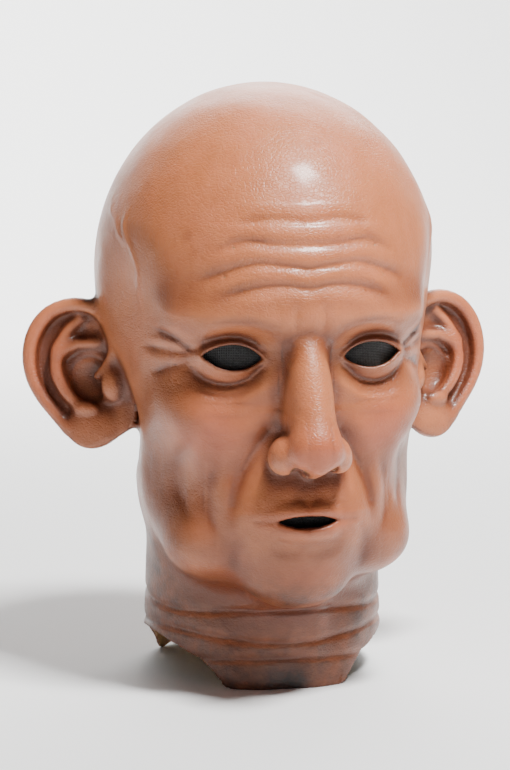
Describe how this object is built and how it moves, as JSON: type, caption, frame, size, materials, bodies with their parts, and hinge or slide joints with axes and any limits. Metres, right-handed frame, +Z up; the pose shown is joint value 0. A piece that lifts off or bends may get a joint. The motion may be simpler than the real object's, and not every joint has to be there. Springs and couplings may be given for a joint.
{
  "type": "latex halloween mask",
  "caption": "Full overhead latex mask of a bald elderly head with ears and a neck collar that spreads at a slit up the nape, lined with foam pads and dark eye gauze.",
  "frame": {"origin": "middle of the bounding box, in the plane that the collar's hem stands on", "axes": "+Z up from the hem to the crown, the face looks along -Y, +X is the mask's own left"},
  "size_m": [0.2806, 0.2741, 0.3548],
  "materials": {
    "painted_latex": "painted, semi-gloss",
    "dark_gauze": "open plain weave, matte",
    "foam": "open-cell foam, matte",
    "cotton_tape": "woven cotton, matte",
    "touch_fastener": "woven nylon, matte"
  },
  "bodies": {
    "mask": {"latex_skin": "painted_latex", "eye_screen_left": "dark_gauze", "eye_screen_right": "dark_gauze", "mouth_screen": "dark_gauze", "crown_pad": "foam", "brow_pad": "foam", "temple_pad_left": "foam", "temple_pad_right": "foam", "occipital_pad": "foam", "slit_stay": "cotton_tape"},
    "flap_left": {"nape_flap_left": "painted_latex", "slit_tape_left": "cotton_tape", "closure_loop_patch": "touch_fastener"},
    "flap_right": {"nape_flap_right": "painted_latex", "slit_tape_right": "cotton_tape", "closure_tab_base": "touch_fastener"},
    "closure_tab": {"closure_tab": "touch_fastener"}
  },
  "joints": [
    {"name": "flap_right_swing", "type": "hinge", "parent": "mask", "child": "flap_right", "pos_m": [-0.024, 0.0926, 0.075], "axis": [0.3045, 0.0457, 0.9514], "range_deg": [0, 45], "stiffness_Nm_per_rad": 0.05},
    {"name": "flap_left_swing", "type": "hinge", "parent": "mask", "child": "flap_left", "pos_m": [0.024, 0.0926, 0.075], "axis": [0.3045, -0.0457, -0.9514], "range_deg": [0, 45], "stiffness_Nm_per_rad": 0.05},
    {"name": "closure_tab_peel", "type": "hinge", "parent": "flap_right", "child": "closure_tab", "pos_m": [-0.01425, 0.09838, 0.03], "axis": [0, -0.035, 0.9994], "range_deg": [0, 112.5], "stiffness_Nm_per_rad": 0.002}
  ],
  "couplings": [
    {"joint": "flap_left_swing", "follows": "flap_right_swing", "ratio": 1},
    {"joint": "closure_tab_peel", "follows": "flap_right_swing", "ratio": 2.5}
  ]
}
